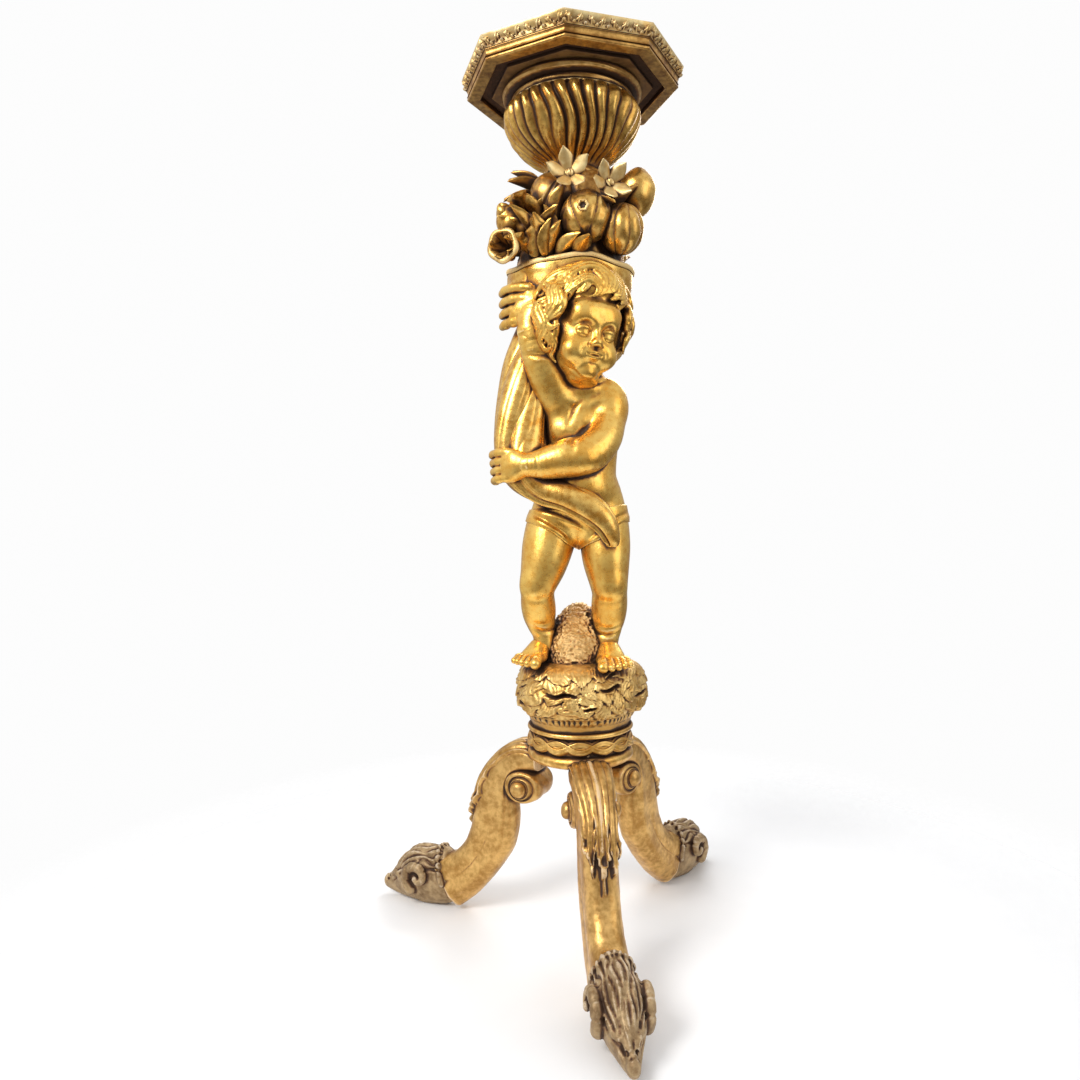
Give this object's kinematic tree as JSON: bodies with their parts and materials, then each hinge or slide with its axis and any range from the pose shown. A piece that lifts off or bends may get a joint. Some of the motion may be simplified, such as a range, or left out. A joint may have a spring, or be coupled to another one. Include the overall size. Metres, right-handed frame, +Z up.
{
  "type": "torchere candle stand",
  "caption": "Carved giltwood torchere: a putto holds a horn of fruit and flowers under an octagonal candle top, on a rock, drum and scroll legs.",
  "frame": {"origin": "on the column's axis at floor level", "axes": "+Z up, the figure faces -Y, +X to the viewer's right"},
  "size_m": [0.5299, 0.5881, 1.2],
  "materials": {
    "burnished_gilding": "burnished water gilding over red bole",
    "horn_gilding": "water gilding, matt in the grooves",
    "rock_gilding": "matt gilding over tooled gesso",
    "stump_gilding": "matt stippled gilding, rubbed and brown",
    "worn_gilding": "old gilding worn to the brown ground",
    "rubbed_gilding": "gilding rubbed down to grey brown ground on the feet",
    "fruit_gilding": "burnished gilding on fruit",
    "brown_gilding": "dull brown gilding",
    "pale_gilding": "pale worn gilding with dark hollows",
    "dark_underside": "dark stained wood, unseen side",
    "bare_wood": "bare limewood"
  },
  "bodies": {
    "root": {"front_leg": "worn_gilding", "front_knee_leaf": "worn_gilding", "front_foot": "rubbed_gilding", "front_leg_dowel": "bare_wood", "right_leg": "worn_gilding", "right_knee_leaf": "worn_gilding", "right_foot": "rubbed_gilding", "right_leg_dowel": "bare_wood", "left_leg": "worn_gilding", "left_knee_leaf": "worn_gilding", "left_foot": "rubbed_gilding", "left_leg_dowel": "bare_wood", "drum": "worn_gilding", "braid_band": "worn_gilding", "base_dowel": "bare_wood", "rock": "rock_gilding", "stump": "stump_gilding", "putto_right_leg": "burnished_gilding", "putto_left_leg": "burnished_gilding", "putto_torso": "burnished_gilding", "putto_head": "burnished_gilding", "putto_right_arm": "burnished_gilding", "putto_left_arm": "burnished_gilding", "loin_cloth": "burnished_gilding", "horn": "horn_gilding", "cluster_core": "brown_gilding", "pomegranate": "fruit_gilding", "melon": "fruit_gilding", "pear": "fruit_gilding", "apple": "fruit_gilding", "peach": "fruit_gilding", "quince": "fruit_gilding", "front_star_flower": "pale_gilding", "side_star_flower": "pale_gilding", "trumpet_flower": "fruit_gilding", "rose_bud": "fruit_gilding", "front_leaves": "brown_gilding", "side_leaves": "brown_gilding", "back_leaves": "brown_gilding", "bulb": "brown_gilding", "bulb_dowel": "bare_wood", "collar": "brown_gilding", "pad": "brown_gilding", "soffit_board": "dark_underside", "rails": "brown_gilding", "top_board": "worn_gilding", "top_dowel": "bare_wood", "moulding_1": "pale_gilding", "moulding_2": "pale_gilding", "moulding_3": "pale_gilding", "moulding_4": "pale_gilding", "moulding_5": "pale_gilding", "moulding_6": "pale_gilding", "moulding_7": "pale_gilding", "moulding_8": "pale_gilding"}
  },
  "joints": []
}
